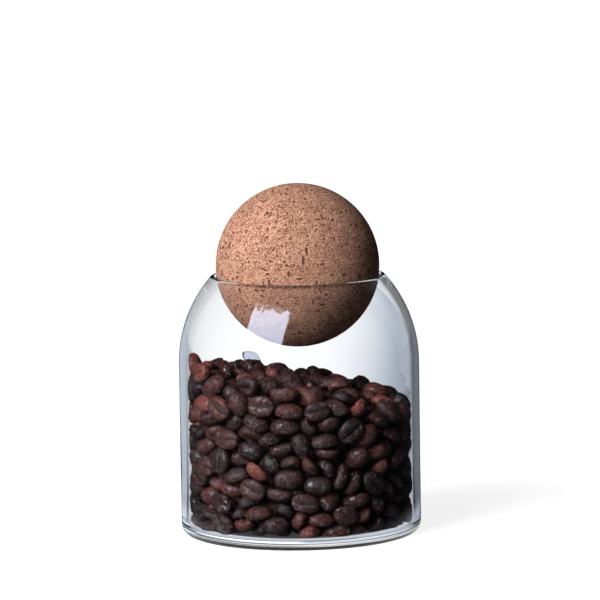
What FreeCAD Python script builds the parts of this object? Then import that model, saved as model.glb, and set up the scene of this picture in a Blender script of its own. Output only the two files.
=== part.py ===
"""Round glass canister with a domed shoulder, stoppered by a loose cork ball and holding coffee beans.

The origin is the middle of the foot, +Z is the jar's axis and the bean surface falls towards +X.
"""
import FreeCAD, Part
import math
import os
import random
import re

import Sketcher

# Driving sizes in millimetres, and degrees for the slope and the tilt.
DIMENSIONS = (
    ("jar_diameter", 100.0, "outside of the straight wall"),
    ("jar_height", 108.0, "foot to the top of the rim"),
    ("wall", 3.0, "glass wall and rim"),
    ("shoulder_start", 71.5, "height where the wall starts to curve inwards"),
    ("mouth_diameter", 67.7, "clear opening at the rim"),
    ("base_thickness", 4.0, "foot to the inside floor"),
    ("base_corner", 4.5, "rounding between foot and wall, outside"),
    ("inner_corner", 2.5, "rounding between floor and wall, inside"),
    ("foot_width", 5.0, "flat ring that the jar stands on"),
    ("push_up", 1.0, "hollow of the underside at its middle"),
    ("ball_rise", 5.65, "ball's centre above the centre of the rim's rounding"),
    ("seat_clearance", 0.3, "between ball and rim"),
    ("headspace", 14.0, "beans to ball, on the jar's axis"),
    ("fill_slope", 6.0, "fall of the bean surface"),
    ("bean_length", 11.4, "one roasted bean"),
    ("bean_width", 8.6, "across the bean"),
    ("bean_belly", 1.4, "long axis to the flat side"),
    ("crease_length", 9.6, "centre cut of the flat side"),
    ("crease_width", 1.0, "across the centre cut"),
    ("crease_depth", 1.1, "depth of the centre cut"),
    ("bean_gap", 0.3, "between beans, and between beans and glass"),
    ("bean_tilt", 8.0, "most that a bean leans out of its layer"),
)

# Sizes that follow from the driving ones, each from the cells above it.
DERIVED = (
    ("outer_radius", "jar_diameter / 2"),
    ("inner_radius", "outer_radius - wall"),
    ("foot_edge", "outer_radius - base_corner - foot_width"),
    ("hollow_radius", "(foot_edge^2 + push_up^2) / (2 * push_up)"),
    ("rim_radius", "(mouth_diameter + wall) / 2"),
    ("rim_height", "jar_height - wall / 2"),
    ("inset", "outer_radius - rim_radius"),
    ("rise", "rim_height - shoulder_start"),
    ("shoulder_radius", "(inset^2 + rise^2 - wall^2 / 4) / (2 * inset - wall)"),
    ("ball_radius", "sqrt(rim_radius^2 + ball_rise^2) - wall / 2 - seat_clearance"),
    ("ball_height", "rim_height + ball_rise"),
    ("half_bean", "bean_length / 2"),
    ("bean_radius", "bean_width / 2"),
    ("crease_radius", "(crease_length^2 / 4 + crease_depth^2) / (2 * crease_depth)"),
    ("back_reach", "bean_radius + (half_bean - bean_radius) * sin(bean_tilt)"),
    ("flat_reach", "bean_belly * cos(bean_tilt) + half_bean * sin(bean_tilt)"),
    ("flat_sag", "inner_radius - sqrt(inner_radius^2 - half_bean^2)"),
    ("layer", "back_reach + flat_reach + flat_sag"),
    ("fill_height", "ball_height - ball_radius - headspace"),
    ("fill_lip", "fill_height + inner_radius * tan(fill_slope)"),
    ("shoulder_used", "max(0; fill_lip - shoulder_start)"),
    ("bore_top", "outer_radius - shoulder_radius + sqrt((shoulder_radius - wall)^2 - shoulder_used^2)"),
    ("core_radius", "bore_top - layer - 2 * bean_gap"),
    ("core_bottom", "base_thickness + layer + 2 * bean_gap"),
    ("core_top", "fill_height - (layer + bean_gap) / cos(fill_slope)"),
)
HOME = {row[0]: "Dimensions" for row in DIMENSIONS} | {row[0]: "Derived" for row in DERIVED}
BEAN_SEED = 11

# Point numbers of a sketch's lines and arcs, and the numbers of its origin and axes.
START, END, CENTRE = 1, 2, 3
ORIGIN, ALONG, UPRIGHT = -1, -1, -2

doc = FreeCAD.newDocument("cork_ball_jar")


def in_sheets(formula):
    """The formula with the sheet's name before each of its cells."""
    return re.sub(r"[a-z_]+", lambda word: f"{HOME[word[0]]}.{word[0]}" if word[0] in HOME else word[0], formula)


def build_sheets():
    """One spreadsheet for the driving sizes and one for those that follow from them."""
    driving = doc.addObject("Spreadsheet::Sheet", "Dimensions")
    for row, (alias, value, note) in enumerate(DIMENSIONS, start=1):
        driving.set(f"A{row}", alias)
        driving.set(f"B{row}", str(value))
        driving.set(f"C{row}", note)
        driving.setAlias(f"B{row}", alias)
    doc.recompute()
    derived = doc.addObject("Spreadsheet::Sheet", "Derived")
    for row, (alias, formula) in enumerate(DERIVED, start=1):
        derived.set(f"A{row}", alias)
        derived.setAlias(f"B{row}", alias)
        derived.set(f"B{row}", "=" + in_sheets(formula))
    doc.recompute()


def size(alias):
    """Number in one cell of the sheets."""
    return float(doc.getObject(HOME[alias]).get(alias))


def bind(item, **formulas):
    """Ties properties to formulas in the sheets' cells; place_x, place_y and place_z are the position."""
    for name, formula in formulas.items():
        path = f"Placement.Base.{name[-1]}" if name.startswith("place_") else name
        item.setExpression(path, in_sheets(formula))


def line(start, end):
    return Part.LineSegment(FreeCAD.Vector(*start, 0), FreeCAD.Vector(*end, 0))


def arc(centre, radius, start_angle, end_angle):
    circle = Part.Circle(FreeCAD.Vector(*centre, 0), FreeCAD.Vector(0, 0, 1), radius)
    return Part.ArcOfCircle(circle, start_angle, end_angle)


def turned_body(name, outline, joins, measures, axis):
    """Body made by turning one closed outline, whose sizes follow the sheets, about a sketch axis."""
    body = doc.addObject("PartDesign::Body", name)
    plane = next(item for item in body.Origin.OriginFeatures if item.Role == "XZ_Plane")
    sketch = body.newObject("Sketcher::SketchObject", name + "Section")
    sketch.AttachmentSupport = (plane, [""])
    sketch.MapMode = "FlatFace"
    sketch.addGeometry(outline, False)
    for join in joins:
        sketch.addConstraint(Sketcher.Constraint(*join))
    for alias, measure in measures:
        index = sketch.addConstraint(Sketcher.Constraint(*measure, size(alias)))
        sketch.setExpression(f"Constraints[{index}]", in_sheets(alias))
    turn = body.newObject("PartDesign::Revolution", name + "Turn")
    turn.Profile = sketch
    turn.ReferenceAxis = (sketch, [axis])
    turn.Angle = 360.0
    return body


def build_jar():
    """Blown glass jar: straight wall, domed shoulder, fire-rounded rim and a shallow hollow below."""
    outer, inner, wall = size("outer_radius"), size("inner_radius"), size("wall")
    floor, spring = size("base_thickness"), size("shoulder_start")
    corner, inner_corner = size("base_corner"), size("inner_corner")
    foot_edge, push_up, hollow_radius = size("foot_edge"), size("push_up"), size("hollow_radius")
    shoulder_radius = size("shoulder_radius")
    shoulder_centre = (outer - shoulder_radius, spring)
    sweep = math.atan2(size("rise"), shoulder_radius - size("inset"))
    quarter = math.pi / 2
    outline = [
        line((0, push_up), (0, floor)),
        line((0, floor), (inner - inner_corner, floor)),
        arc((inner - inner_corner, floor + inner_corner), inner_corner, -quarter, 0),
        line((inner, floor + inner_corner), (inner, spring)),
        arc(shoulder_centre, shoulder_radius - wall, 0, sweep),
        arc((size("rim_radius"), size("rim_height")), wall / 2, sweep, sweep + math.pi),
        arc(shoulder_centre, shoulder_radius, 0, sweep),
        line((outer, spring), (outer, corner)),
        arc((outer - corner, corner), corner, -quarter, 0),
        line((outer - corner, 0), (foot_edge, 0)),
        arc((0, push_up - hollow_radius), hollow_radius, math.acos(foot_edge / hollow_radius), quarter),
    ]
    axis, bed, bed_bend, bore, dome_in, rim, dome_out, side, bend, foot, hollow = range(len(outline))
    joins = (
        ("PointOnObject", axis, START, UPRIGHT),
        ("PointOnObject", axis, END, UPRIGHT),
        ("Coincident", axis, END, bed, START),
        ("Horizontal", bed),
        ("Tangent", bed, END, bed_bend, START),
        ("Tangent", bed_bend, END, bore, START),
        ("Vertical", bore),
        ("Tangent", bore, END, dome_in, START),
        ("Tangent", dome_in, END, rim, END),
        ("Tangent", rim, START, dome_out, END),
        ("Coincident", dome_in, CENTRE, dome_out, CENTRE),
        ("Tangent", dome_out, START, side, START),
        ("Vertical", side),
        ("Tangent", side, END, bend, END),
        ("Tangent", bend, START, foot, START),
        ("PointOnObject", foot, START, ALONG),
        ("PointOnObject", foot, END, ALONG),
        ("Coincident", foot, END, hollow, START),
        ("Coincident", hollow, END, axis, START),
        ("PointOnObject", hollow, CENTRE, UPRIGHT),
    )
    measures = (
        ("outer_radius", ("DistanceX", ORIGIN, START, side, START)),
        ("wall", ("DistanceX", bore, END, side, START)),
        ("shoulder_start", ("DistanceY", ORIGIN, START, side, START)),
        ("rim_radius", ("DistanceX", ORIGIN, START, rim, CENTRE)),
        ("rim_height", ("DistanceY", ORIGIN, START, rim, CENTRE)),
        ("base_thickness", ("DistanceY", ORIGIN, START, axis, END)),
        ("push_up", ("DistanceY", ORIGIN, START, axis, START)),
        ("foot_width", ("DistanceX", foot, END, foot, START)),
        ("base_corner", ("Radius", bend)),
        ("inner_corner", ("Radius", bed_bend)),
    )
    jar = turned_body("GlassJar", outline, joins, measures, "V_Axis")
    jar.Label = "glass_jar"
    return jar


def build_ball():
    """Cork ball, wider than the mouth, which rests on the rounded rim by its own weight."""
    ball = doc.addObject("Part::Sphere", "CorkBall")
    ball.Label = "cork_ball"
    bind(ball, Radius="ball_radius", place_z="ball_height")
    return ball


def build_bean():
    """One roasted bean along X: a turned oval, flattened below, with its centre cut along the flat."""
    half, radius = size("half_bean"), size("bean_radius")
    tip = half - radius
    quarter = math.pi / 2
    outline = [
        line((-half, 0), (half, 0)),
        arc((tip, 0), radius, 0, quarter),
        line((tip, radius), (-tip, radius)),
        arc((-tip, 0), radius, quarter, 2 * quarter),
    ]
    axis, front, spine, rear = range(len(outline))
    joins = (
        ("Coincident", axis, END, front, START),
        ("Tangent", front, END, spine, START),
        ("Tangent", spine, END, rear, START),
        ("Coincident", rear, END, axis, START),
        ("PointOnObject", axis, END, ALONG),
        ("PointOnObject", front, CENTRE, ALONG),
        ("PointOnObject", rear, CENTRE, ALONG),
        ("Horizontal", spine),
        ("Symmetric", axis, START, axis, END, ORIGIN, START),
    )
    measures = (
        ("half_bean", ("DistanceX", ORIGIN, START, axis, END)),
        ("bean_radius", ("Radius", front)),
    )
    oval = turned_body("BeanOval", outline, joins, measures, "H_Axis")

    below = doc.addObject("Part::Box", "BelowFlat")
    bind(below, Length="2 * bean_length", Width="2 * bean_width", Height="bean_width")
    bind(below, place_x="-bean_length", place_y="-bean_width", place_z="-bean_belly - bean_width")
    flat = doc.addObject("Part::Cut", "BeanFlat")
    flat.Base = oval
    flat.Tool = below

    # A disc on edge, which cuts deepest in the middle of the flat and runs out towards its ends.
    disc = doc.addObject("Part::Cylinder", "CreaseDisc")
    disc.Placement.Rotation = FreeCAD.Rotation(FreeCAD.Vector(1, 0, 0), 90)
    bind(disc, Radius="crease_radius", Height="crease_width")
    bind(disc, place_y="crease_width / 2", place_z="crease_depth - bean_belly - crease_radius")
    bean = doc.addObject("Part::Cut", "Bean")
    bean.Base = flat
    bean.Tool = disc
    return bean


def build_core():
    """Solid that stands for the beans that no side shows, cut off along the slope of the surface."""
    column = doc.addObject("Part::Cylinder", "CoreColumn")
    bind(column, Radius="core_radius", Height="jar_height", place_z="core_bottom")
    above = doc.addObject("Part::Cylinder", "AboveCore")
    above.Placement.Rotation = FreeCAD.Rotation(FreeCAD.Vector(0, 1, 0), size("fill_slope"))
    bind(above, Radius="jar_diameter", Height="2 * jar_height", place_z="core_top")
    core = doc.addObject("Part::Cut", "BeanCore")
    core.Label = "bean_core"
    core.Base = column
    core.Tool = above
    return core


def lay_bean(chance, support, facing, sag=0.0):
    """Placement of one bean on a support: back or flat towards it, turned and leaning by chance."""
    back_first = chance.random() < 0.5
    tilt = chance.uniform(-size("bean_tilt"), size("bean_tilt"))
    lean = math.radians(abs(tilt))
    half, radius = size("half_bean"), size("bean_radius")
    if back_first:
        reach = radius + (half - radius) * math.sin(lean)
    else:
        reach = size("bean_belly") * math.cos(lean) + half * math.sin(lean) + sag
    front = facing if back_first else -facing
    turned = FreeCAD.Rotation(front, chance.uniform(0, 360))
    stood = FreeCAD.Rotation(FreeCAD.Vector(0, 0, 1), front)
    leant = FreeCAD.Rotation(FreeCAD.Vector(0, 1, 0), tilt)
    return FreeCAD.Placement(support - facing * (size("bean_gap") + reach), turned * stood * leant)


def wall_layer(chance):
    """Staggered rows of beans against the glass, spread between the floor and the sloping surface."""
    bore, half = size("bore_top"), size("half_bean")
    pitch = size("bean_length") + size("bean_gap")
    fall = math.tan(math.radians(size("fill_slope")))
    columns = int(math.pi / math.asin(pitch / 2 / (bore - size("bean_gap") - size("back_reach"))))
    lowest = size("base_thickness") + size("inner_corner") + half
    shallow = size("fill_height") - bore * fall - half - lowest
    rows = 1 + int(shallow / (pitch * math.sqrt(3) / 2))
    places = []
    for row in range(rows):
        for column in range(columns):
            angle = 2 * math.pi * (column + row % 2 / 2) / columns
            facing = FreeCAD.Vector(math.cos(angle), math.sin(angle), 0)
            support = facing * bore
            highest = size("fill_height") - support.x * fall - half
            support.z = lowest + (highest - lowest) * row / max(rows - 1, 1)
            places.append(lay_bean(chance, support, facing, size("flat_sag")))
    return places


def disc_layer(chance, height, slope):
    """Rings of beans on a round plane inside the wall layer, sloping down towards +X."""
    rotation = FreeCAD.Rotation(FreeCAD.Vector(0, 1, 0), slope)
    middle = FreeCAD.Vector(0, 0, height)
    facing = rotation.multVec(FreeCAD.Vector(0, 0, -1))
    pitch = size("bean_length") + size("bean_gap")
    ring = size("core_radius") - size("half_bean") - size("layer") * math.sin(math.radians(slope))
    places = []
    while ring > pitch / 2:
        count = int(math.pi / math.asin(pitch / 2 / ring))
        start = chance.uniform(0, 2 * math.pi)
        for step in range(count):
            angle = start + 2 * math.pi * step / count
            flat = FreeCAD.Vector(ring * math.cos(angle), ring * math.sin(angle), 0)
            places.append(lay_bean(chance, middle + rotation.multVec(flat), facing))
        ring -= pitch
    return places


def build_beans(bean):
    """The beans that show: against the wall, on the floor and on the surface."""
    chance = random.Random(BEAN_SEED)
    places = wall_layer(chance)
    places += disc_layer(chance, size("base_thickness"), 0)
    places += disc_layer(chance, size("core_top"), size("fill_slope"))
    solids = []
    for place in places:
        solid = bean.Shape.Solids[0].copy()
        solid.Placement = place
        solids.append(solid)
    beans = doc.addObject("Part::Feature", "CoffeeBeans")
    beans.Label = "coffee_beans"
    beans.Shape = Part.makeCompound(solids)
    return beans


def check(parts):
    """Stops on a failed feature or a broken solid."""
    for item in doc.Objects:
        if "Invalid" in item.State or "Error" in item.State:
            raise RuntimeError(f"{item.Name} failed: {item.State}")
    for part in parts:
        if part.Shape.isNull() or not part.Shape.isValid() or not part.Shape.Solids:
            raise RuntimeError(f"{part.Label} has no valid solid")


def main():
    build_sheets()
    jar = build_jar()
    ball = build_ball()
    core = build_core()
    bean = build_bean()
    doc.recompute()
    beans = build_beans(bean)
    doc.recompute()
    parts = (jar, ball, core, beans)
    check(parts)
    os.makedirs("parts", exist_ok=True)
    for part in parts:
        part.Shape.exportStep(f"parts/{part.Label}.step")
        box = part.Shape.BoundBox
        solids = len(part.Shape.Solids)
        print(f"{part.Label}: {solids} solids, {part.Shape.Volume:.0f} mm3, z {box.ZMin:.2f} to {box.ZMax:.2f}")


main()
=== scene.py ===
"""Glass jar with a cork ball stopper and roasted coffee beans, dressed over its fixed frame."""
import math
import random

import bmesh
import bpy
from bpy.props import FloatProperty, FloatVectorProperty, IntProperty, PointerProperty
from mathutils import Euler, Matrix, Vector, noise


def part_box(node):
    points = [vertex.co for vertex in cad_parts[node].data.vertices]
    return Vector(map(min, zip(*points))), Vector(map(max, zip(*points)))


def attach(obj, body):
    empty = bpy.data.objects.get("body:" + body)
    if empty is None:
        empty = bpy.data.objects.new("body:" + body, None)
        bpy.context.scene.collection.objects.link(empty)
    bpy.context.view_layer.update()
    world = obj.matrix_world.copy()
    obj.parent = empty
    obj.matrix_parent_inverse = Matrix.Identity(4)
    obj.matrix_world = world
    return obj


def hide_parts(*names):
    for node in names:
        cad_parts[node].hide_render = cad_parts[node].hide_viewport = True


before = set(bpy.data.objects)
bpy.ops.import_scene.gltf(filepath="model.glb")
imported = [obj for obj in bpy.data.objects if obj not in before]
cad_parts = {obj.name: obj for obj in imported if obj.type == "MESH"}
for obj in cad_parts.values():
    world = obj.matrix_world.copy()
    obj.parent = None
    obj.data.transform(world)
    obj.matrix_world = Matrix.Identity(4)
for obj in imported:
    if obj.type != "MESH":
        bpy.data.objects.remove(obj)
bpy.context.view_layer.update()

bl_info = {
    "name": "Cork ball jar",
    "version": (1, 0, 0),
    "blender": (4, 5, 0),
    "location": "View3D > Sidebar > Cork jar",
    "description": "Glass canister with a cork ball stopper and coffee beans",
    "category": "Add Mesh",
}

JAR_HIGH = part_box("glass_jar")[1]
BALL_LOW, BALL_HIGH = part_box("cork_ball")
MM = 0.001
FULL_TURN = 2 * math.pi


def length(name, description, default):
    """A size in metres, shown in the scene's unit."""
    return FloatProperty(name=name, description=description, default=default, unit="LENGTH", precision=5)


def angle(name, description, degrees):
    """An angle, given in degrees."""
    return FloatProperty(name=name, description=description, default=math.radians(degrees), subtype="ANGLE",
                         unit="ROTATION")


def colour(name, description, default):
    """A scene-linear colour."""
    return FloatVectorProperty(name=name, description=description, default=default, size=3, subtype="COLOR",
                               min=0.0, max=1.0)


class GlassSettings(bpy.types.PropertyGroup):
    """Sizes and tint of the blown jar."""
    radius: length("Radius", "Outside of the straight wall", JAR_HIGH.x)
    height: length("Height", "Foot to the top of the rim", JAR_HIGH.z)
    wall: length("Wall", "Thickness of wall and rim", 3.0 * MM)
    shoulder_start: length("Shoulder", "Height where the wall starts to curve inwards", 71.5 * MM)
    mouth: length("Mouth", "Clear opening at the rim", 67.7 * MM)
    floor: length("Floor", "Foot to the inside floor", 4.0 * MM)
    foot_corner: length("Foot corner", "Rounding between foot and wall", 4.5 * MM)
    floor_corner: length("Floor corner", "Rounding between floor and wall, inside", 2.5 * MM)
    foot_ring: length("Foot ring", "Flat ring that the jar stands on", 5.0 * MM)
    push_up: length("Push-up", "Hollow of the underside at its middle", 1.0 * MM)
    tint: colour("Tint", "Colour of the glass", (0.975, 0.982, 0.99))
    lamp_tint: colour("Lamp tint", "What lamp light keeps at each side of the wall", (0.95, 0.955, 0.965))
    ripple: length("Ripple", "Height of the slow waves left by blowing", 0.25 * MM)


class CorkSettings(bpy.types.PropertyGroup):
    """Pits and colours of the pressed cork ball."""
    pit_depth: length("Pit depth", "Deepest pits of the turned surface", 0.22 * MM)
    light: colour("Light cork", "Pale granules", (0.70, 0.362, 0.230))
    mid: colour("Cork", "Most of the surface", (0.46, 0.204, 0.125))
    dark: colour("Dark flecks", "Bark flecks and pits", (0.15, 0.060, 0.036))
    # Painted shadow: the colour of a dark ring where the glass rim meets the ball.
    seat_shadow_colour: colour("Painted shadow ring", "Where the rim touches the ball", (0.05, 0.022, 0.013))


class BeanSettings(bpy.types.PropertyGroup):
    """Size, number and roast of the beans."""
    count: IntProperty(name="Beans", description="Beans poured round the middle", default=560, min=1)
    seed: IntProperty(name="Seed", description="Lay of the poured beans", default=4)
    bean_length: length("Length", "One roasted bean", 11.4 * MM)
    bean_width: length("Width", "Across the bean", 8.7 * MM)
    back: length("Back", "Long axis to the top of the rounded back", 4.0 * MM)
    belly: length("Belly", "Long axis to the flat side", 1.7 * MM)
    cut_depth: length("Centre cut", "Depth of the cut along the flat side", 1.25 * MM)
    clearance: length("Clearance", "Least room between beans and glass", 0.25 * MM)
    lean: angle("Lean", "Tilt of the pull that slopes the surface", 3.2)
    dark: colour("Dark roast", "Darkest beans", (0.019, 0.0072, 0.0070))
    brown: colour("Brown roast", "Paler beans", (0.068, 0.0215, 0.0186))
    red: colour("Red roast", "A few reddish beans", (0.25, 0.064, 0.044))
    # Painted highlight along the lips of the centre cut.
    lip_highlight: colour("Lips", "Painted highlight along the lips of the centre cut", (0.16, 0.08, 0.055))
    # Painted shade down in the centre cut.
    cut_shade: colour("Groove", "Bottom of the centre cut", (0.003, 0.0015, 0.0015))


class StageSettings(bpy.types.PropertyGroup):
    """Camera and light of the picture."""
    distance: length("Distance", "Camera in front of the jar's axis", 2.013)
    camera_height: length("Camera height", "Above the floor", 0.3599)
    aside: length("Aside", "Camera to the right of the jar's axis", 0.0008)
    pitch: angle("Pitch", "Camera looks down", 7.43)
    roll: angle("Roll", "Camera leans to the right", 0.85)
    lens: FloatProperty(name="Lens", description="Focal length on a 36 mm sensor", default=293.2, unit="CAMERA")
    window_power: FloatProperty(name="Window", description="Power of the window light", default=24.5, unit="POWER")
    window_glow: FloatProperty(name="Window glow", description="Brightness of the window in the glass", default=18.0)
    floor_colour: colour("Floor", "Pale floor", (0.50, 0.50, 0.52))
    bounce_colour: colour("Bounce", "What the floor throws back at the jar", (0.10, 0.105, 0.115))
    mirrored_colour: colour("Mirrored floor", "The lit floor as the glass shows it", (0.01, 0.01, 0.011))


class JarSettings(bpy.types.PropertyGroup):
    """All settings of the jar."""
    glass: PointerProperty(type=GlassSettings)
    cork: PointerProperty(type=CorkSettings)
    beans: PointerProperty(type=BeanSettings)
    stage: PointerProperty(type=StageSettings)


class Value:
    """A node's output. Arithmetic with it adds Math nodes to its tree."""

    def __init__(self, finish, socket):
        self.finish = finish
        self.socket = socket

    def math(self, operation, *terms):
        return self.finish.node("ShaderNodeMath", {"operation": operation}, dict(enumerate(terms)))["Value"]

    def __add__(self, other):
        return self.math("ADD", self, other)

    __radd__ = __add__

    def __sub__(self, other):
        return self.math("SUBTRACT", self, other)

    def __rsub__(self, other):
        return self.math("SUBTRACT", other, self)

    def __mul__(self, other):
        return self.math("MULTIPLY", self, other)

    __rmul__ = __mul__

    def __truediv__(self, other):
        return self.math("DIVIDE", self, other)

    def __lt__(self, other):
        return self.math("LESS_THAN", self, other)

    def __gt__(self, other):
        return self.math("GREATER_THAN", self, other)

    def __abs__(self):
        return self.math("ABSOLUTE", self)


class Outputs:
    """The outputs of one node, by name or number."""

    def __init__(self, finish, made):
        self.finish = finish
        self.made = made

    def __getitem__(self, key):
        return Value(self.finish, self.made.outputs[key])


class Finish:
    """The node tree of a material or of the world."""

    def __init__(self, tree):
        self.tree = tree
        tree.nodes.clear()

    def node(self, kind, settings=None, inputs=None):
        """Adds a node: its settings first, then the values or links of its sockets."""
        made = self.tree.nodes.new(kind)
        for name, setting in (settings or {}).items():
            if name == "stops":
                for extra in range(len(setting) - 2):
                    made.color_ramp.elements.new(0.5)
                for stop, (place, shade) in zip(made.color_ramp.elements, setting):
                    stop.position = place
                    stop.color = (*shade, 1.0)
            else:
                setattr(made, name, setting)
        for key, given in (inputs or {}).items():
            socket = made.inputs[key]
            if isinstance(given, Value):
                self.tree.links.new(given.socket, socket)
            elif socket.type == "RGBA":
                socket.default_value = (*tuple(given)[:3], 1.0)
            else:
                socket.default_value = given
        return Outputs(self, made)

    def place(self, kind="Object"):
        """Where a point lies."""
        return self.node("ShaderNodeTexCoord")[kind]

    def split(self, vector):
        """The X, Y and Z of a vector."""
        return self.node("ShaderNodeSeparateXYZ", None, {"Vector": vector})

    def noise(self, place, scale, detail, roughness=0.5, distortion=0.0):
        """Cloudy noise, with its scale to the metre."""
        return self.node("ShaderNodeTexNoise", None, {
            "Vector": place, "Scale": scale, "Detail": detail, "Roughness": roughness, "Distortion": distortion})

    def ramp(self, value, *stops):
        """The colour at a value between stops."""
        return self.node("ShaderNodeValToRGB", {"stops": stops}, {"Fac": value})["Color"]

    def mix(self, factor, first, second):
        """Mixes two colours."""
        settings = {"data_type": "RGBA", "blend_type": "MIX", "clamp_factor": True}
        return self.node("ShaderNodeMix", settings, {0: factor, 6: first, 7: second})[2]

    def choose(self, factor, first, second):
        """Mixes two shaders."""
        return self.node("ShaderNodeMixShader", None, {0: factor, 1: first, 2: second})[0]

    def ease(self, value, low, high):
        """0 below low, 1 above high, with a soft step between them."""
        settings = {"interpolation_type": "SMOOTHSTEP"}
        return self.node("ShaderNodeMapRange", settings, {"Value": value, "From Min": low, "From Max": high})["Result"]

    def relief(self, height, distance, strength=1.0):
        """The normal of a bumpy surface."""
        bump = self.node("ShaderNodeBump", None, {"Strength": strength, "Distance": distance, "Height": height})
        return bump["Normal"]

    def skin(self, **sockets):
        """The main shader, with sockets named in words joined by underscores."""
        named = {"IOR" if key == "ior" else key.replace("_", " ").title(): given for key, given in sockets.items()}
        return self.node("ShaderNodeBsdfPrincipled", None, named)["BSDF"]

    def shine(self, shade, light):
        """A shader that sends out a colour."""
        glow = self.node("ShaderNodeVectorMath", {"operation": "SCALE"}, {0: shade, "Scale": light})["Vector"]
        return self.node("ShaderNodeEmission", None, {"Color": glow})["Emission"]

    def show(self, surface, kind="ShaderNodeOutputMaterial"):
        """Links the finished shader to the output."""
        self.node(kind, None, {"Surface": surface})


def new_finish(name):
    """A new material and its empty node tree."""
    material = bpy.data.materials.new(name)
    material.use_nodes = True
    return material, Finish(material.node_tree)


def scaled(shade, strength):
    """A colour made stronger or weaker."""
    return tuple(min(1.0, strength * part) for part in shade)


def new_piece(name, bm, material, smooth=True):
    """Makes the mesh an object at the origin, with its finish."""
    mesh = bpy.data.meshes.new(name)
    bm.to_mesh(mesh)
    bm.free()
    if smooth:
        mesh.shade_smooth()
    if material:
        mesh.materials.append(material)
    piece = bpy.data.objects.new(name, mesh)
    bpy.context.scene.collection.objects.link(piece)
    return piece


ROUND_STEPS = 192
SEAM_GAP = 1e-7
GLASS_IOR = 1.47
# Where light that runs on inside the glass is let out: below the top of the rim, and above the foot.
RIM_ZONE = (7.0 * MM, 4.0 * MM)
FOOT_ZONE = (5.0 * MM, 8.0 * MM)
# Thresholds between counted bounces.
FIRST, SECOND = 0.5, 1.5


def last_vert(made):
    """The end of a spun point's path."""
    return next(part for part in made["geom_last"] if isinstance(part, bmesh.types.BMVert))


def run_to(bm, vert, x, z, steps):
    """Draws a straight run of the profile."""
    stride = (Vector((x, 0.0, z)) - vert.co) / steps
    made = bmesh.ops.spin(bm, geom=[vert], cent=(0, 0, 0), axis=(0, 1, 0), dvec=stride, angle=0.0, steps=steps)
    return last_vert(made)


def turn_about(bm, vert, x, z, sweep, steps):
    """Draws an arc of the profile, up from +X where the sweep is positive."""
    made = bmesh.ops.spin(bm, geom=[vert], cent=(x, 0, z), axis=(0, 1, 0), dvec=(0, 0, 0), angle=-sweep, steps=steps)
    return last_vert(made)


def draw_jar_profile(bm, glass):
    """Half section of the jar in the XZ plane, from the hollow below to the middle of the inside floor."""
    quarter = math.pi / 2
    inner = glass.radius - glass.wall
    foot_edge = glass.radius - glass.foot_corner - glass.foot_ring
    hollow_radius = (foot_edge ** 2 + glass.push_up ** 2) / (2 * glass.push_up)
    rim_radius = (glass.mouth + glass.wall) / 2
    rim_height = glass.height - glass.wall / 2
    inset = glass.radius - rim_radius
    rise = rim_height - glass.shoulder_start
    dome = (inset ** 2 + rise ** 2 - glass.wall ** 2 / 4) / (2 * inset - glass.wall)
    dome_middle = glass.radius - dome
    sweep = math.atan2(rise, dome - inset)
    vert = bm.verts.new((0.0, 0.0, glass.push_up))
    vert = turn_about(bm, vert, 0.0, glass.push_up - hollow_radius, -math.asin(foot_edge / hollow_radius), steps=8)
    vert = run_to(bm, vert, glass.radius - glass.foot_corner, 0.0, steps=3)
    vert = turn_about(bm, vert, glass.radius - glass.foot_corner, glass.foot_corner, quarter, steps=14)
    vert = run_to(bm, vert, glass.radius, glass.shoulder_start, steps=24)
    vert = turn_about(bm, vert, dome_middle, glass.shoulder_start, sweep, steps=40)
    vert = turn_about(bm, vert, rim_radius, rim_height, math.pi, steps=20)
    vert = turn_about(bm, vert, dome_middle, glass.shoulder_start, -sweep, steps=40)
    vert = run_to(bm, vert, inner, glass.floor + glass.floor_corner, steps=24)
    vert = turn_about(bm, vert, inner - glass.floor_corner, glass.floor + glass.floor_corner, -quarter, steps=12)
    run_to(bm, vert, 0.0, glass.floor, steps=10)


def glass_finish(glass):
    """Clear glass with slow waves. Lamps shine straight through, and from inside it mirrors only at flat angles."""
    material, finish = new_finish("clear_glass")
    place = finish.place()
    waves = finish.noise(place, scale=32.0, detail=1.5, roughness=0.4)["Fac"]
    lie = finish.relief(waves, glass.ripple, strength=0.35)
    outside, within = (finish.skin(base_color=glass.tint, roughness=0.0, ior=GLASS_IOR, transmission_weight=1.0,
                                   specular_tint=(gleam,) * 3, normal=lie) for gleam in (1.0, 0.0))
    clear = finish.choose(finish.node("ShaderNodeNewGeometry")["Backfacing"], outside, within)
    open_way = finish.node("ShaderNodeBsdfTransparent", None, {"Color": glass.lamp_tint})["BSDF"]
    path = finish.node("ShaderNodeLightPath")
    # A path that is mirrored again and again inside rim or foot would end in black, so it is let out.
    level = finish.split(place)["Z"]
    rim = finish.ease(level, *(glass.height - below for below in RIM_ZONE))
    foot = 1.0 - finish.ease(level, *FOOT_ZONE)
    lost = (rim + foot) * (path["Glossy Depth"] > SECOND)
    looked_at = finish.choose(path["Is Camera Ray"], open_way, outside)
    freed = finish.choose(lost, clear, open_way)
    finish.show(finish.choose(path["Is Singular Ray"], looked_at, freed))
    return material


class JAR_OT_blow_glass(bpy.types.Operator):
    """Blows the glass jar: wall, domed shoulder, rounded rim and hollow foot in one skin"""
    bl_idname = "cork_jar.blow_glass"
    bl_label = "Glass jar"

    def execute(self, context):
        glass = context.scene.cork_jar.glass
        bm = bmesh.new()
        draw_jar_profile(bm, glass)
        bmesh.ops.spin(bm, geom=bm.verts[:] + bm.edges[:], cent=(0, 0, 0), axis=(0, 0, 1), dvec=(0, 0, 0),
                       angle=FULL_TURN, steps=ROUND_STEPS, use_merge=True)
        bmesh.ops.remove_doubles(bm, verts=bm.verts[:], dist=SEAM_GAP)
        bmesh.ops.recalc_face_normals(bm, faces=bm.faces[:])
        jar = new_piece("jar_glass", bm, glass_finish(glass))
        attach(jar, "jar")
        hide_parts("glass_jar")
        return {"FINISHED"}


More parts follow.
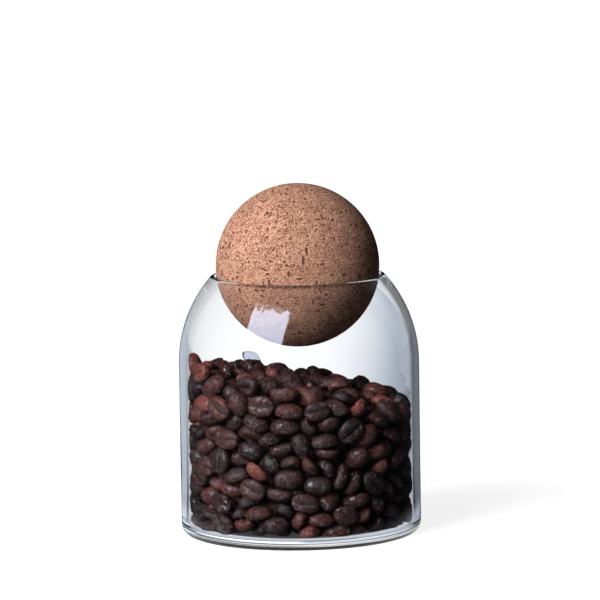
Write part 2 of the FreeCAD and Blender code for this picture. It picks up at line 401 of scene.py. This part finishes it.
# Sets of dark flecks in the cork: turn, stretch, cells to the metre, reach inside a cell, share of the cells.
FLECK_SETS = (
    ((0.0, 0.0, 0.4), (1.0, 0.4, 1.0), 520.0, 0.3, 0.32),
    ((0.3, 0.8, 0.2), (1.0, 0.3, 1.0), 1150.0, 0.42, 0.17),
    ((1.2, 0.1, 1.0), (0.3, 1.0, 1.0), 900.0, 0.42, 0.17),
    ((0.5, 1.3, 2.1), (1.0, 1.0, 0.3), 760.0, 0.42, 0.17),
)
CHIP_WARP = 1.2 * MM
# Shift between the two mottles that paint lit and shaded sides on the chips.
PAINTED_RELIEF_SHIFT = (0.25 * MM, 0.1 * MM, -0.3 * MM)
# Heights of the painted shadow ring where the glass rim meets the ball.
SEAT_SHADOW_LOW = (105.0 * MM, 106.4 * MM)
SEAT_SHADOW_HIGH = (107.1 * MM, 108.2 * MM)
GRAINS_PER_METRE = 600.0
PITS_PER_METRE = 330.0
PIT_START = 0.25


def flecks(finish, place, turn, stretch, scale, reach, share):
    """Short dark flecks, turned and drawn out: 1 inside a fleck, and 1 on a ring round it that takes a painted
    highlight.
    """
    laid = finish.node("ShaderNodeMapping", {"vector_type": "POINT"},
                       {"Vector": place, "Rotation": turn, "Scale": stretch})["Vector"]
    cells = finish.node("ShaderNodeTexVoronoi", {"feature": "F1"}, {"Vector": laid, "Scale": scale, "Randomness": 1.0})
    pick = finish.node("ShaderNodeSeparateColor", None, {"Color": cells["Color"]})
    size = reach * (0.3 + 1.05 * pick["Green"])
    span = cells["Distance"] / size
    inside = 1.0 - finish.ease(span, 0.6, 1.0)
    rim = finish.ease(span, 0.9, 1.2) * (1.0 - finish.ease(span, 1.3, 1.8))
    chosen = pick["Red"] < share
    return inside * chosen, rim * chosen


def cork_finish(cork):
    """Pressed cork: pale granules of mixed tone, bark flecks with painted highlight rims, pits, a fine grain, painted
    lit and shaded sides on the chips, and a painted shadow ring where the glass rim meets the ball.
    """
    material, finish = new_finish("pressed_cork")
    place = finish.place()
    warp = finish.noise(place, scale=700.0, detail=2.0)["Color"]
    bent = finish.node("ShaderNodeVectorMath", {"operation": "MULTIPLY_ADD"},
                       {0: warp, 1: (CHIP_WARP,) * 3, 2: place})["Vector"]
    (dark, rim), *others = [flecks(finish, bent, *kind) for kind in FLECK_SETS]
    for inside, around in others:
        dark = dark.math("MAXIMUM", dark, inside)
        rim = rim.math("MAXIMUM", rim, around)
    granules = finish.node("ShaderNodeTexVoronoi", {"feature": "F1"}, {"Vector": bent, "Scale": 430.0})
    tone = finish.node("ShaderNodeSeparateColor", None, {"Color": granules["Color"]})["Red"]
    cloud = finish.noise(place, scale=80.0, detail=2.0)["Fac"]
    grain = finish.noise(place, scale=3200.0, detail=2.0)["Fac"]
    # Two copies of one mottle, a little apart: their difference paints a lit side and a shaded side on each chip, as if
    # light fell from one side.
    beside = finish.node("ShaderNodeVectorMath", {"operation": "ADD"}, {0: bent, 1: PAINTED_RELIEF_SHIFT})["Vector"]
    mottle, mottle_beside = (finish.noise(spot, scale=1600.0, detail=2.0, roughness=0.7)["Fac"] for spot in (bent, beside))
    pale = (0.3 * tone + 0.7 * (mottle - 0.5) + 0.4 * (cloud - 0.5) + 0.5 * (grain - 0.5)
            + 3.0 * (mottle - mottle_beside) + 0.41)
    body = finish.ramp(pale, (0.0, scaled(cork.mid, 0.3)), (0.34, tuple(cork.mid)), (0.66, tuple(cork.light)),
                       (1.0, scaled(cork.light, 1.3)))
    # Painted highlight: a pale ring round each fleck, standing in for the lit edge of a pit.
    shade = finish.mix(0.75 * rim, body, scaled(cork.light, 1.25))
    shade = finish.mix(dark * (0.7 + 0.5 * cloud), shade, cork.dark)
    # Painted shadow: a dark, patchy ring round the ball where the glass rim meets it.
    level = finish.split(place)["Z"]
    seat_shadow_band = finish.ease(level, *SEAT_SHADOW_LOW) * (1.0 - finish.ease(level, *SEAT_SHADOW_HIGH))
    seat_shadow_strength = 0.5 + 0.45 * finish.ease(mottle, 0.35, 0.65)
    shade = finish.mix(seat_shadow_band * seat_shadow_strength, shade, cork.seat_shadow_colour)
    height = 0.9 * mottle + 0.4 * grain - 0.8 * dark
    finish.show(finish.skin(base_color=shade, roughness=0.72 + 0.2 * mottle, ior=1.4,
                            normal=finish.relief(height, 6.0 * cork.pit_depth)))
    return material


class JAR_OT_turn_cork(bpy.types.Operator):
    """Turns the cork ball and pits its surface"""
    bl_idname = "cork_jar.turn_cork"
    bl_label = "Cork ball"

    def execute(self, context):
        cork = context.scene.cork_jar.cork
        radius = (BALL_HIGH.z - BALL_LOW.z) / 2
        middle = (BALL_LOW + BALL_HIGH) / 2
        bm = bmesh.new()
        bmesh.ops.create_icosphere(bm, subdivisions=7, radius=radius, matrix=Matrix.Translation(middle))
        for vert in bm.verts:
            out = (vert.co - middle).normalized()
            rough = 0.5 + 0.5 * noise.noise(vert.co * GRAINS_PER_METRE)
            pit = max(0.0, noise.noise(vert.co * PITS_PER_METRE) - PIT_START) / (1.0 - PIT_START)
            vert.co -= out * cork.pit_depth * min(1.0, 0.35 * rough + pit)
        ball = new_piece("cork_stopper", bm, cork_finish(cork))
        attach(ball, "lid")
        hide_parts("cork_ball")
        return {"FINISHED"}


# Angles round a bean's long axis, from the middle of its flat side: cut, lips, flat, edges and back.
BEAN_ANGLES = (0, 9, 44, 80, 114, 147, 180, 213, 246, 280, 316, 351)
CUT = 0
CUT_AND_LIPS = (0, 1, 11)
BEAN_RINGS = 7
END_FULLNESS = 0.42
BELLY_FULLNESS = 0.35
BOW_WAVE = 2.2
BOW_REACH = 0.11
# Width and bow of the centre cut of each kind of bean.
BEAN_KINDS = ((1.0, 0.6), (0.92, -0.8), (1.06, 0.2), (0.97, 1.0))
ROAST_TONES = (0.1, 0.2, 0.25, 0.3, 0.34, 0.38, 0.4, 0.44, 0.48, 0.52, 0.58, 0.66, 0.85)
ROAST_SPREAD = 0.05
SKIN_SHIFT = 0.6

# The pour runs at a larger scale, which suits the solver. A core keeps the middle of the bed free.
POUR_SCALE = 20.0
POUR_FRAMES = 64
POUR_HEIGHT = 0.5
GRAVITY = 9.81
GRID_PITCH = 1.1
ROW_PITCH = 0.87
SIZE_RANGE = (0.9, 1.08)
CORE_RADIUS, CORE_LOW, CORE_HIGH = 31.0 * MM, 12.5 * MM, 46.0 * MM

# Beans that take the core's place after the pour, in millimetres.
INNER_RINGS = (8.0, 17.0, 26.0)
INNER_PITCH = 8.5
INNER_LOW, INNER_STEP, INNER_LAYERS = 17.0, 6.0, 5


def shape_bean(beans, slim, bow):
    """One bean along X with its flat side down, at the pour's scale: rounded back, flat belly, bowed centre cut."""
    bm = bmesh.new()
    bmesh.ops.create_uvsphere(bm, u_segments=len(BEAN_ANGLES), v_segments=BEAN_RINGS, radius=1.0)
    step = FULL_TURN / len(BEAN_ANGLES)
    seam = bm.verts.layers.float.new("seam")
    half = beans.bean_length / 2
    for vert in bm.verts:
        along = vert.co.z
        ring = max(0.0, 1.0 - along ** 2) ** END_FULLNESS
        turn = round(math.atan2(vert.co.y, vert.co.x) / step) % len(BEAN_ANGLES)
        bearing = math.radians(BEAN_ANGLES[turn])
        side, down = math.sin(bearing), math.cos(bearing)
        if down > 0:
            depth = -beans.belly * down ** BELLY_FULLNESS
        else:
            depth = -beans.back * down * (0.94 + 0.06 * slim)
        across = side * beans.bean_width / 2 * slim
        taper = max(0.0, 1.0 - along ** 4)
        if turn in CUT_AND_LIPS:
            across += bow * math.sin(along * BOW_WAVE) * beans.bean_width * BOW_REACH
        if turn == CUT:
            depth += beans.cut_depth * taper
            vert[seam] = taper
        vert.co = (along * half, across * ring, depth * ring)
    bmesh.ops.recalc_face_normals(bm, faces=bm.faces[:])
    bmesh.ops.scale(bm, vec=(POUR_SCALE,) * 3, verts=bm.verts[:])
    mesh = bpy.data.meshes.new("bean")
    bm.to_mesh(mesh)
    bm.free()
    return mesh


def any_turn(rng):
    """A random turn about all three axes."""
    return Euler([rng.uniform(0, FULL_TURN) for axis in range(3)]).to_matrix().to_4x4()


def pour_grid(beans, rng, inner, floor):
    """Start of the pour: one layer lies under the core, the others stand in a loose grid above the floor."""
    pitch = beans.bean_length * GRID_PITCH
    reach = int(inner / pitch) + 1
    cells = [(i, j) for i in range(-reach, reach + 1) for j in range(-reach, reach + 1)]
    places = []
    lying = floor + 0.5 * (CORE_LOW - floor) - 1.2 * MM
    for i, j in cells:
        x, y = (i + 0.5 * (j % 2)) * pitch, j * pitch * ROW_PITCH
        if math.hypot(x, y) < CORE_RADIUS + 0.2 * pitch:
            yaw = Matrix.Rotation(rng.uniform(0, FULL_TURN), 4, "Z")
            places.append(Matrix.Translation((x, y, lying)) @ yaw)
    widest = inner - pitch * 0.54
    narrowest = CORE_RADIUS + pitch * 0.75
    over_core = CORE_HIGH + pitch * 0.7
    layer = 0
    while len(places) < beans.count:
        height = floor + pitch * (0.55 + layer)
        for i, j in cells:
            x, y = i * pitch, j * pitch
            away = math.hypot(x, y)
            blocked = height < over_core and away < narrowest
            if away > widest or blocked or len(places) >= beans.count:
                continue
            places.append(Matrix.Translation((x, y, height)) @ any_turn(rng))
        layer += 1
    return places


def build_pot(beans, inner, floor):
    """The jar's inside and the core, as the beans meet them in the pour."""
    bm = bmesh.new()
    bmesh.ops.create_cone(bm, segments=64, radius1=inner, radius2=inner, depth=POUR_HEIGHT,
                          matrix=Matrix.Translation((0, 0, floor + POUR_HEIGHT / 2)))
    bmesh.ops.create_circle(bm, cap_ends=True, segments=64, radius=inner, matrix=Matrix.Translation((0, 0, floor)))
    core = Matrix.Translation((0, 0, (CORE_LOW + CORE_HIGH) / 2)) @ Matrix.Rotation(beans.lean, 4, "Y")
    bmesh.ops.create_cone(bm, cap_ends=True, segments=32, radius1=CORE_RADIUS, radius2=CORE_RADIUS,
                          depth=CORE_HIGH - CORE_LOW, matrix=core)
    bmesh.ops.triangulate(bm, faces=bm.faces[:])
    bmesh.ops.scale(bm, vec=(POUR_SCALE,) * 3, verts=bm.verts[:])
    return new_piece("pour_pot", bm, None)


def settle_beans(beans, glass, shapes, rng):
    """Drops the beans into the jar with rigid bodies and returns each bean's shape and place."""
    scene = bpy.context.scene
    inner = glass.radius - glass.wall - beans.clearance
    floor = glass.floor + beans.clearance
    places = pour_grid(beans, rng, inner, floor)
    sizes = [rng.uniform(*SIZE_RANGE) for place in places]
    picks = [rng.randrange(len(shapes)) for place in places]
    poured = []
    for number, (place, size, pick) in enumerate(zip(places, sizes, picks)):
        bean = bpy.data.objects.new(f"poured_{number}", shapes[pick])
        scene.collection.objects.link(bean)
        bean.rotation_mode = "QUATERNION"
        bean.location = place.translation * POUR_SCALE
        bean.rotation_quaternion = place.to_quaternion()
        bean.scale = (size,) * 3
        poured.append(bean)
    pot = build_pot(beans, inner, floor)

    for other in bpy.context.selected_objects:
        other.select_set(False)
    for thing in poured + [pot]:
        thing.select_set(True)
    bpy.context.view_layer.objects.active = pot
    bpy.ops.rigidbody.world_add()
    world = scene.rigidbody_world
    world.substeps_per_frame = 6
    world.solver_iterations = 10
    world.point_cache.frame_end = POUR_FRAMES + 1
    bpy.ops.rigidbody.objects_add(type="ACTIVE")
    pot.rigid_body.type = "PASSIVE"
    pot.rigid_body.collision_shape = "MESH"
    for thing in poured + [pot]:
        body = thing.rigid_body
        body.use_margin = True
        body.collision_margin = 0.0
        body.friction = 0.45
        body.restitution = 0.0
    for bean in poured:
        body = bean.rigid_body
        body.collision_shape = "CONVEX_HULL"
        body.mass = 1.0
        body.collision_margin = 0.004
        body.linear_damping = 0.08
        body.angular_damping = 0.25
    pull = scene.gravity.copy()
    scene.gravity = Matrix.Rotation(beans.lean, 3, "Y") @ Vector((0.0, 0.0, -GRAVITY))
    for number in range(1, POUR_FRAMES + 1):
        scene.frame_set(number)
    shrink = Matrix.Scale(1 / POUR_SCALE, 4)
    rest = [(pick, shrink @ bean.matrix_world) for pick, bean in zip(picks, poured)]

    bpy.ops.rigidbody.world_remove()
    scene.gravity = pull
    for thing in poured + [pot]:
        bpy.data.objects.remove(thing)
    leftover = bpy.data.collections.get("RigidBodyWorld")
    if leftover:
        bpy.data.collections.remove(leftover)
    scene.frame_set(1)
    return rest


def inner_beans(rng, kinds):
    """Beans for the middle of the bed, where the core stood in the pour."""
    places = []
    for ring in INNER_RINGS:
        around = int(FULL_TURN * ring / INNER_PITCH)
        for layer in range(INNER_LAYERS):
            height = INNER_LOW + INNER_STEP * layer
            for step in range(around):
                bearing = FULL_TURN * (step + 0.5 * (layer % 2)) / around
                spot = Vector((ring * math.cos(bearing), ring * math.sin(bearing), height)) * MM
                place = Matrix.Translation(spot) @ any_turn(rng) @ Matrix.Scale(1 / POUR_SCALE, 4)
                places.append((rng.randrange(kinds), place))
    return places


def bean_finish(beans):
    """Dark roasted skin: wrinkled, a little oily, with painted shade down the centre cut and a painted highlight on its
    lips.
    """
    material, finish = new_finish("roasted_bean")
    tone = finish.node("ShaderNodeAttribute", {"attribute_name": "roast"})["Fac"]
    seam = finish.node("ShaderNodeAttribute", {"attribute_name": "seam"})["Fac"]
    local = finish.node("ShaderNodeAttribute", {"attribute_name": "skin"})["Vector"]
    fine = finish.noise(local, scale=1000.0, detail=2.0, roughness=0.6)["Fac"]
    patch = finish.noise(local, scale=260.0, detail=2.0)["Fac"]
    wavy = finish.noise(local, scale=480.0, detail=3.0, roughness=0.6, distortion=1.2)["Fac"]
    swell = finish.ease(abs(wavy - 0.5), 0.0, 0.1)
    blend = tone + 0.45 * (patch - 0.5) + 0.7 * (fine - 0.5) + 0.2 * (swell - 0.5)
    roast = finish.ramp(blend, (0.0, scaled(beans.dark, 0.35)), (0.26, tuple(beans.dark)), (0.58, tuple(beans.brown)),
                        (0.95, tuple(beans.red)))
    # Painted highlight on the lips of the centre cut.
    lip_highlight = finish.ease(seam, 0.03, 0.16) * (1.0 - finish.ease(seam, 0.2, 0.42))
    # Painted shade down in the centre cut, which is also made rougher.
    cut_shade = finish.ease(seam, 0.22, 0.6)
    shade = finish.mix(lip_highlight * 0.3, roast, beans.lip_highlight)
    shade = finish.mix(cut_shade * 0.95, shade, beans.cut_shade)
    oily = finish.ease(patch, 0.40, 0.56)
    height = 0.65 * swell + 0.55 * fine + 0.6 * patch
    finish.show(finish.skin(base_color=shade, roughness=0.40 - 0.18 * oily + 0.5 * cut_shade, ior=1.65,
                            normal=finish.relief(height, 0.34 * MM)))
    return material


class JAR_OT_pour_beans(bpy.types.Operator):
    """Pours the roasted beans into the jar"""
    bl_idname = "cork_jar.pour_beans"
    bl_label = "Coffee beans"

    def execute(self, context):
        jar = context.scene.cork_jar
        beans = jar.beans
        rng = random.Random(beans.seed)
        shapes = [shape_bean(beans, slim, bow) for slim, bow in BEAN_KINDS]
        laid = settle_beans(beans, jar.glass, shapes, rng) + inner_beans(rng, len(shapes))
        bm = bmesh.new()
        roast, skin = [], []
        for pick, place in laid:
            bean = shapes[pick].copy()
            tone = rng.choice(ROAST_TONES) + rng.uniform(-ROAST_SPREAD, ROAST_SPREAD)
            shift = Vector([rng.uniform(0.0, SKIN_SHIFT) for axis in range(3)])
            for vert in bean.vertices:
                roast.append(tone)
                skin.extend(vert.co / POUR_SCALE + shift)
            bean.transform(place)
            bm.from_mesh(bean)
            bpy.data.meshes.remove(bean)
        piece = new_piece("roasted_beans", bm, bean_finish(beans))
        piece.data.attributes.new("roast", "FLOAT", "POINT").data.foreach_set("value", roast)
        piece.data.attributes.new("skin", "FLOAT_VECTOR", "POINT").data.foreach_set("vector", skin)
        for shape in shapes:
            bpy.data.meshes.remove(shape)
        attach(piece, "jar")
        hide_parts("coffee_beans", "bean_core")
        return {"FINISHED"}


FLOOR_REACH = 6.0
WINDOW_AIM = Vector((0.0, 0.0, 0.09))
WINDOW_CLIMB = math.radians(29.0)
WINDOW_AWAY = 1.1
WINDOW_WIDTH, WINDOW_HEIGHT = 0.72, 0.92
LAMP_BEARING = math.radians(44.0)
PANE_BEARING = math.radians(36.0)
PANE_GAP = 0.01


def sight_lines(finish):
    """What the camera sees directly, straight through the glass, by a turn inside the wall, and mirrored in it."""
    path = finish.node("ShaderNodeLightPath")
    sharp = path["Is Singular Ray"] * (path["Diffuse Depth"] < FIRST)
    turned = path["Glossy Depth"] > FIRST
    inside = (path["Transmission Depth"] > FIRST) * sharp
    return path["Is Camera Ray"], inside * (1.0 - turned), inside * turned, sharp - inside


def floor_finish(stage):
    """Pale floor that reads white in the picture, keeps the soft shadow and shades off to the right in the glass."""
    material, finish = new_finish("studio_floor")
    place = finish.place()
    spot = finish.split(place)
    bearing = spot["X"].math("ARCTAN2", spot["X"], spot["Y"])
    away = finish.node("ShaderNodeVectorMath", {"operation": "LENGTH"}, {0: place})["Value"]
    seen, through, edge, mirror = sight_lines(finish)
    # Seen directly, and through the glass with a grey flag to the right: painted shade on the floor, seen only through
    # the glass.
    white = 0.86 + 0.16 * finish.ease(away, 0.15, 0.9)
    flag = finish.ease(bearing, 0.01, 0.22) * (1.0 - finish.ease(bearing, 0.42, 0.62))
    # Painted shadow on the floor under the jar's foot, where the glass shows it.
    under = 1.0 - finish.ease(away, 0.039, 0.045)
    behind_glass = 1.12 * (1.0 - 0.46 * flag) * (1.0 - 0.93 * under)
    # Bent into the edges of the glass: two lanes behind the jar, the left one brighter, and the floor round its foot.
    lane = (abs(spot["X"]) - 45.0 * MM) / spot["Y"]
    outer = (1.0 - finish.ease(lane, 0.68, 0.8)) * (spot["Y"] > 0.0)
    fall = finish.ease(lane, 0.1, 0.6)
    left, right = 1.2 - 0.5 * fall, 0.4 - 0.2 * fall
    side = finish.ease(bearing, -0.04, 0.04)
    near = 1.0 - finish.ease(away, 0.06, 0.11)
    band = 0.004 + outer * (left * (1.0 - side) + right * side) + 0.65 * near * (1.0 - 0.8 * under)
    # Mirrored in the rounded foot.
    touching = 0.6 * (1.0 - finish.ease(away, 0.052, 0.062))
    light = seen * white + through * behind_glass + edge * band + mirror * touching
    cool = finish.mix(through * flag + edge, (1.0, 1.0, 1.0), (0.80, 0.875, 1.0))
    pale = finish.mix(seen, stage.bounce_colour, stage.floor_colour)
    pale = finish.mix(mirror + edge + through, pale, stage.mirrored_colour)
    matt = finish.node("ShaderNodeBsdfDiffuse", None, {"Color": pale})["BSDF"]
    finish.show(finish.node("ShaderNodeAddShader", None, {0: matt, 1: finish.shine(cool, light)})[0])
    return material


def world_finish():
    """White beyond the floor, a dim grey room for everything else."""
    world = bpy.data.worlds.new("studio")
    world.use_nodes = True
    finish = Finish(world.node_tree)
    seen, through, edge, mirror = sight_lines(finish)
    heading = finish.split(finish.place("Generated"))
    behind = finish.ease(heading["Y"], 0.2, 0.6)
    side = finish.ease(heading["X"], -0.08, 0.08)
    light = 0.02 + 0.98 * (seen + through) + edge * (0.02 + behind * (0.7 - 0.46 * side)) - 0.016 * mirror
    room = finish.node("ShaderNodeBackground", None, {"Color": (0.98, 0.985, 1.0), "Strength": light})["Background"]
    finish.show(room, "ShaderNodeOutputWorld")
    return world


def window_finish(stage):
    """Bright window with a ragged upper edge, which shows only as a reflection in the glass."""
    material, finish = new_finish("window_pane")
    edge, mirror = sight_lines(finish)[2:]
    place = finish.place()
    leaves = finish.noise(place, scale=7.0, detail=3.0)["Fac"]
    cover = finish.ease(finish.split(place)["Z"] + 0.5 * (leaves - 0.5), 0.93, 0.96)
    sky = finish.mix(cover, (0.70, 0.80, 1.0), (0.12, 0.13, 0.15))
    finish.show(finish.shine(sky, stage.window_glow * (mirror + edge)))
    return material


def window_stand(bearing, away):
    """Where a window stands: turned to the left of the camera, raised, and facing the jar."""
    flat = math.cos(WINDOW_CLIMB)
    toward = Vector((-math.sin(bearing) * flat, -math.cos(bearing) * flat, math.sin(WINDOW_CLIMB)))
    return Matrix.Translation(WINDOW_AIM + away * toward) @ toward.to_track_quat("Z", "Y").to_matrix().to_4x4()


class JAR_OT_set_stage(bpy.types.Operator):
    """Sets the floor, the window light, the room and the camera"""
    bl_idname = "cork_jar.set_stage"
    bl_label = "Stage"

    def execute(self, context):
        scene = context.scene
        stage = scene.cork_jar.stage
        bm = bmesh.new()
        bmesh.ops.create_circle(bm, cap_ends=True, segments=96, radius=FLOOR_REACH)
        floor = new_piece("studio_floor", bm, floor_finish(stage), smooth=False)
        scene.world = world_finish()

        lamp = bpy.data.lights.new("window_light", "AREA")
        lamp.shape = "RECTANGLE"
        lamp.size = WINDOW_WIDTH
        lamp.size_y = WINDOW_HEIGHT
        lamp.energy = stage.window_power
        lamp.color = (0.955, 0.955, 1.0)
        lamp.cycles.use_multiple_importance_sampling = False
        window = bpy.data.objects.new("window_light", lamp)
        scene.collection.objects.link(window)
        window.matrix_world = window_stand(LAMP_BEARING, WINDOW_AWAY)
        window.visible_camera = False

        bm = bmesh.new()
        bmesh.ops.create_grid(bm, x_segments=8, y_segments=8, size=0.5)
        bmesh.ops.scale(bm, vec=(WINDOW_WIDTH, WINDOW_HEIGHT, 1.0), verts=bm.verts[:])
        bmesh.ops.transform(bm, matrix=window_stand(PANE_BEARING, WINDOW_AWAY - PANE_GAP), verts=bm.verts[:])
        pane = new_piece("window_pane", bm, window_finish(stage), smooth=False)
        pane.visible_camera = False
        pane.visible_diffuse = False
        pane.visible_shadow = False

        camera = bpy.data.cameras.new("picture")
        camera.sensor_width = 36.0
        camera.lens = stage.lens
        camera.clip_start = 0.05
        camera.clip_end = 50.0
        eye = bpy.data.objects.new("picture", camera)
        scene.collection.objects.link(eye)
        eye.matrix_world = (Matrix.Translation((stage.aside, -stage.distance, stage.camera_height))
                            @ Matrix.Rotation(math.pi / 2 - stage.pitch, 4, "X") @ Matrix.Rotation(-stage.roll, 4, "Z"))
        scene.camera = eye
        scene.view_settings.view_transform = "Standard"
        return {"FINISHED"}


class JAR_PT_sidebar(bpy.types.Panel):
    """Lists the jar's pieces and sizes"""
    bl_idname = "JAR_PT_sidebar"
    bl_label = "Cork ball jar"
    bl_space_type = "VIEW_3D"
    bl_region_type = "UI"
    bl_category = "Cork jar"

    def draw(self, context):
        jar = context.scene.cork_jar
        for operator, settings in zip(STEPS, (jar.glass, jar.cork, jar.beans, jar.stage)):
            box = self.layout.box()
            box.operator(operator.bl_idname)
            for name in settings.bl_rna.properties.keys():
                if name not in ("rna_type", "name"):
                    box.prop(settings, name)


STEPS = (JAR_OT_blow_glass, JAR_OT_turn_cork, JAR_OT_pour_beans, JAR_OT_set_stage)
CLASSES = (GlassSettings, CorkSettings, BeanSettings, StageSettings, JarSettings, *STEPS, JAR_PT_sidebar)


def register():
    for kind in CLASSES:
        bpy.utils.register_class(kind)
    bpy.types.Scene.cork_jar = PointerProperty(type=JarSettings)


def unregister():
    del bpy.types.Scene.cork_jar
    for kind in reversed(CLASSES):
        bpy.utils.unregister_class(kind)


def main():
    register()
    bpy.ops.cork_jar.blow_glass()
    bpy.ops.cork_jar.turn_cork()
    bpy.ops.cork_jar.pour_beans()
    bpy.ops.cork_jar.set_stage()


if __name__ == "__main__":
    main()
